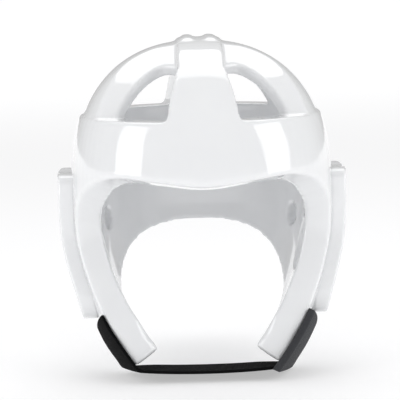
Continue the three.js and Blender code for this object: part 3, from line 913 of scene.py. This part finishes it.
class HEADGEAR_OT_shell(bpy.types.Operator):
    """Build the dipped foam shell with its bands, centre strip, vents and jaw"""
    bl_idname = "headgear.shell"
    bl_label = "Foam Shell"

    def execute(self, context):
        form = Form(context.scene.headgear_shell)
        s, finish = form.s, context.scene.headgear_finish
        shell = closed_form(form, s.panel_step, "foam_shell")
        carve(shell, vent_cuts(form), "DIFFERENCE")
        bands = closed_form(form, 0, "bands_and_strip")
        carve(bands, raised_areas(form), "INTERSECT")
        carve(shell, bands, "UNION")
        ribs = closed_form(form, -s.rib_height, "ribs")
        mesh = bmesh.new()
        for side in (-1, 1):
            add_block(mesh, (s.rib_width, s.rib_length, s.wall), (side * s.rib_spacing / 2, 0, form.z(0)))
        carve(ribs, new_object("rib_blocks", mesh), "INTERSECT")
        carve(shell, ribs, "UNION")
        carve(shell, closed_form(form, form.wall_at, "hollow"), "DIFFERENCE")
        carve(shell, face_cut(form), "DIFFERENCE")
        carve(shell, rim_cut(form), "DIFFERENCE")
        carve(shell, side_cuts(form), "DIFFERENCE")
        dipped(shell, finish.voxel, finish.rounding, finish.waviness, finish.wave_length)
        round_jaw_ends(form, shell, finish)
        shell.data.materials.clear()
        shell.data.materials.append(dipped_vinyl(finish))
        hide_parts("shell")
        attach(shell, "root")
        return {"FINISHED"}


class HEADGEAR_OT_ear_guards(bpy.types.Operator):
    """Build the two ear guards with their ear openings"""
    bl_idname = "headgear.ear_guards"
    bl_label = "Ear Guards"

    def execute(self, context):
        form = Form(context.scene.headgear_shell)
        s, finish = form.s, context.scene.headgear_finish
        front = s.guard_middle - s.guard_depth / 2
        rows = [
            Vector((0, front + row.across * s.guard_depth, form.z(s.guard_top + row.down * s.guard_height)))
            for row in GUARD_EDGE
        ]
        sides = GUARD_SIDES_PER_ROW * len(rows)
        start = Vector((s.width / 8, 0, 0))
        mesh = bmesh.new()
        add_prism(mesh, [start + through(rows, k / sides) for k in range(sides)], Vector((s.width, 0, 0)))
        left = new_object("ear_guard_pad_left", mesh)
        carve(left, closed_form(form, -s.seat_gap - s.guard_thickness, "guard_face"), "INTERSECT")
        carve(left, closed_form(form, s.bedding, "guard_seat"), "DIFFERENCE")
        carve(left, new_object("ear_cut", ear_opening(form, 0, 2 * s.width)), "DIFFERENCE")
        dipped(left, finish.guard_voxel, finish.guard_rounding, finish.guard_waviness, finish.wave_length)
        left.data.materials.clear()
        left.data.materials.append(bpy.data.materials["dipped_vinyl"])
        mesh = bmesh.new()
        mesh.from_mesh(left.data)
        bmesh.ops.scale(mesh, verts=mesh.verts, vec=(-1, 1, 1))
        bmesh.ops.reverse_faces(mesh, faces=mesh.faces)
        right = new_object("ear_guard_pad_right", mesh)
        right.data.materials.append(bpy.data.materials["dipped_vinyl"])
        for pad, node in ((left, "ear_guard_left"), (right, "ear_guard_right")):
            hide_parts(node)
            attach(pad, "root")
        return {"FINISHED"}


class HEADGEAR_OT_chin_strap(bpy.types.Operator):
    """Build the webbing chin strap"""
    bl_idname = "headgear.chin_strap"
    bl_label = "Chin Strap"

    def execute(self, context):
        form = Form(context.scene.headgear_shell)
        strap = context.scene.headgear_strap

        def lane(across):
            half = half_lane(form, strap, across)
            return half + [Vector((-p.x, p.y, p.z)) for p in reversed(half[:-1])]

        run = sum((b - a).length for a, b in zip(lane(0), lane(0)[1:]))
        band = add_band("webbing_strap", lane, STRAP_CELLS, run, strap.width, strap.thickness)
        band.data.materials.append(black_webbing(context.scene.headgear_finish))
        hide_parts("chin_strap")
        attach(band, "root")
        return {"FINISHED"}


class HEADGEAR_OT_fastening_tab(bpy.types.Operator):
    """Build the napped end of the strap's fastener"""
    bl_idname = "headgear.fastening_tab"
    bl_label = "Fastening Tab"

    def execute(self, context):
        form = Form(context.scene.headgear_shell)
        strap = context.scene.headgear_strap
        seat = form.s.seat_gap
        over = 3 * seat + strap.thickness
        wrap = strap.tab_wrap / strap.width

        def lane(across):
            wide = across * (1 + 2 * wrap)
            raised = min(max((wide + 0.5 + wrap) / wrap, 0), 1)
            lift = seat + raised * (over - seat)
            points = [strap_lane(form, strap, wide, k / 4, lift) for k in range(5)]
            way = (points[-1] - points[-2]).normalized()
            return points + [points[-1] + strap.tab_overhang * way]

        run = sum((b - a).length for a, b in zip(lane(0), lane(0)[1:]))
        tab = add_band("loop_tab", lane, TAB_CELLS, run, strap.width, strap.tab_thickness)
        tab.data.materials.append(loop_pile(context.scene.headgear_finish))
        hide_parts("fastening_tab")
        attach(tab, "root")
        return {"FINISHED"}


class HEADGEAR_OT_studio(bpy.types.Operator):
    """Set up the pale floor, the soft lights and the camera"""
    bl_idname = "headgear.studio"
    bl_label = "Studio"

    def execute(self, context):
        scene = context.scene
        form = Form(scene.headgear_shell)
        studio = scene.headgear_studio
        target = Vector((0, 0, form.z(studio.aim_drop)))
        mesh = bmesh.new()
        bmesh.ops.create_circle(
            mesh, cap_ends=True, segments=FLOOR_SIDES, radius=studio.floor_radius
        )
        bmesh.ops.translate(mesh, verts=mesh.verts, vec=(0, 0, CAD_BOX[0][2] - studio.floor_gap))
        floor = new_object("studio_floor", mesh)
        floor.data.materials.append(studio_paper(scene.headgear_finish))
        for row in LAMPS:
            self.light(row, target)
        self.surround(scene)
        self.camera(scene, studio, target)
        scene.view_settings.view_transform = "Standard"
        return {"FINISHED"}

    def light(self, row, target):
        """Area light of a row of the table, which looks at the target."""
        a, e = math.radians(row.azimuth), math.radians(row.elevation)
        way = Vector((math.sin(a) * math.cos(e), -math.cos(a) * math.cos(e), math.sin(e)))
        data = bpy.data.lights.new(row.name, "AREA")
        data.shape = "RECTANGLE"
        data.size, data.size_y = row.width, row.height
        data.energy = row.power
        lamp = bpy.data.objects.new(row.name, data)
        lamp.visible_glossy = row.mirrored
        lamp.location = target + row.distance * way
        lamp.rotation_euler = way.to_track_quat("Z", "Y").to_euler()
        bpy.context.scene.collection.objects.link(lamp)

    def surround(self, scene):
        """Soft white room: brighter behind the object than in its reflections."""
        world = bpy.data.worlds.new("studio")
        scene.world = world
        world.use_nodes = True
        tree = world.node_tree
        tree.nodes.clear()
        way = add_node(tree, "ShaderNodeTexCoord").outputs["Generated"]
        rise = add_node(tree, "ShaderNodeSeparateXYZ", {}, {"Vector": way})
        ceiling = add_node(
            tree, "ShaderNodeMapRange", {"From Min": 0.1, "From Max": 0.9, "To Min": 0.52, "To Max": 0.75},
            {"Value": rise.outputs["Z"]},
        )
        room = add_node(
            tree, "ShaderNodeBackground", {"Color": (1, 1, 1, 1)}, {"Strength": ceiling.outputs["Result"]}
        )
        backdrop = add_node(tree, "ShaderNodeBackground", {"Color": (1, 1, 1, 1), "Strength": 0.965})
        seen = add_node(tree, "ShaderNodeLightPath").outputs["Is Camera Ray"]
        both = add_node(
            tree, "ShaderNodeMixShader", {},
            {0: seen, 1: room.outputs["Background"], 2: backdrop.outputs["Background"]},
        )
        out = tree.nodes.new("ShaderNodeOutputWorld")
        tree.links.new(both.outputs["Shader"], out.inputs["Surface"])

    def camera(self, scene, studio, target):
        """Camera at the photograph's angle."""
        e, yaw = studio.elevation, studio.yaw
        way = Vector((-math.sin(yaw) * math.cos(e), -math.cos(yaw) * math.cos(e), math.sin(e)))
        data = bpy.data.cameras.new("camera")
        data.lens = studio.focal
        data.sensor_width = 36
        data.clip_start, data.clip_end = 0.05, 100
        made = bpy.data.objects.new("camera", data)
        aim = target - Vector((studio.aim_side, 0, 0))
        turned = way.to_track_quat("Z", "Y").to_matrix().to_4x4() @ Matrix.Rotation(-studio.roll, 4, "Z")
        made.matrix_world = Matrix.Translation(aim + studio.distance * way) @ turned
        scene.collection.objects.link(made)
        scene.camera = made


class HEADGEAR_PT_panel(bpy.types.Panel):
    """Lists the pieces of the headgear"""
    bl_idname = "HEADGEAR_PT_panel"
    bl_label = "Taekwondo Headgear"
    bl_space_type = "VIEW_3D"
    bl_region_type = "UI"
    bl_category = "Headgear"

    def draw(self, context):
        for operator in OPERATORS:
            self.layout.operator(operator.bl_idname)


OPERATORS = (
    HEADGEAR_OT_shell,
    HEADGEAR_OT_ear_guards,
    HEADGEAR_OT_chin_strap,
    HEADGEAR_OT_fastening_tab,
    HEADGEAR_OT_studio,
)
GROUPS = {
    "headgear_shell": HeadgearShell,
    "headgear_strap": HeadgearStrap,
    "headgear_finish": HeadgearFinish,
    "headgear_studio": HeadgearStudio,
}


def register():
    """Registers the settings, the operators and the panel."""
    for kind in (*GROUPS.values(), *OPERATORS, HEADGEAR_PT_panel):
        bpy.utils.register_class(kind)
    for name, kind in GROUPS.items():
        setattr(bpy.types.Scene, name, bpy.props.PointerProperty(type=kind))


def unregister():
    """Takes them out again."""
    for name in GROUPS:
        delattr(bpy.types.Scene, name)
    for kind in reversed((*GROUPS.values(), *OPERATORS, HEADGEAR_PT_panel)):
        bpy.utils.unregister_class(kind)


def main():
    """Builds every piece and the studio."""
    register()
    bpy.ops.headgear.shell()
    bpy.ops.headgear.ear_guards()
    bpy.ops.headgear.chin_strap()
    bpy.ops.headgear.fastening_tab()
    bpy.ops.headgear.studio()


if __name__ == "__main__":
    main()
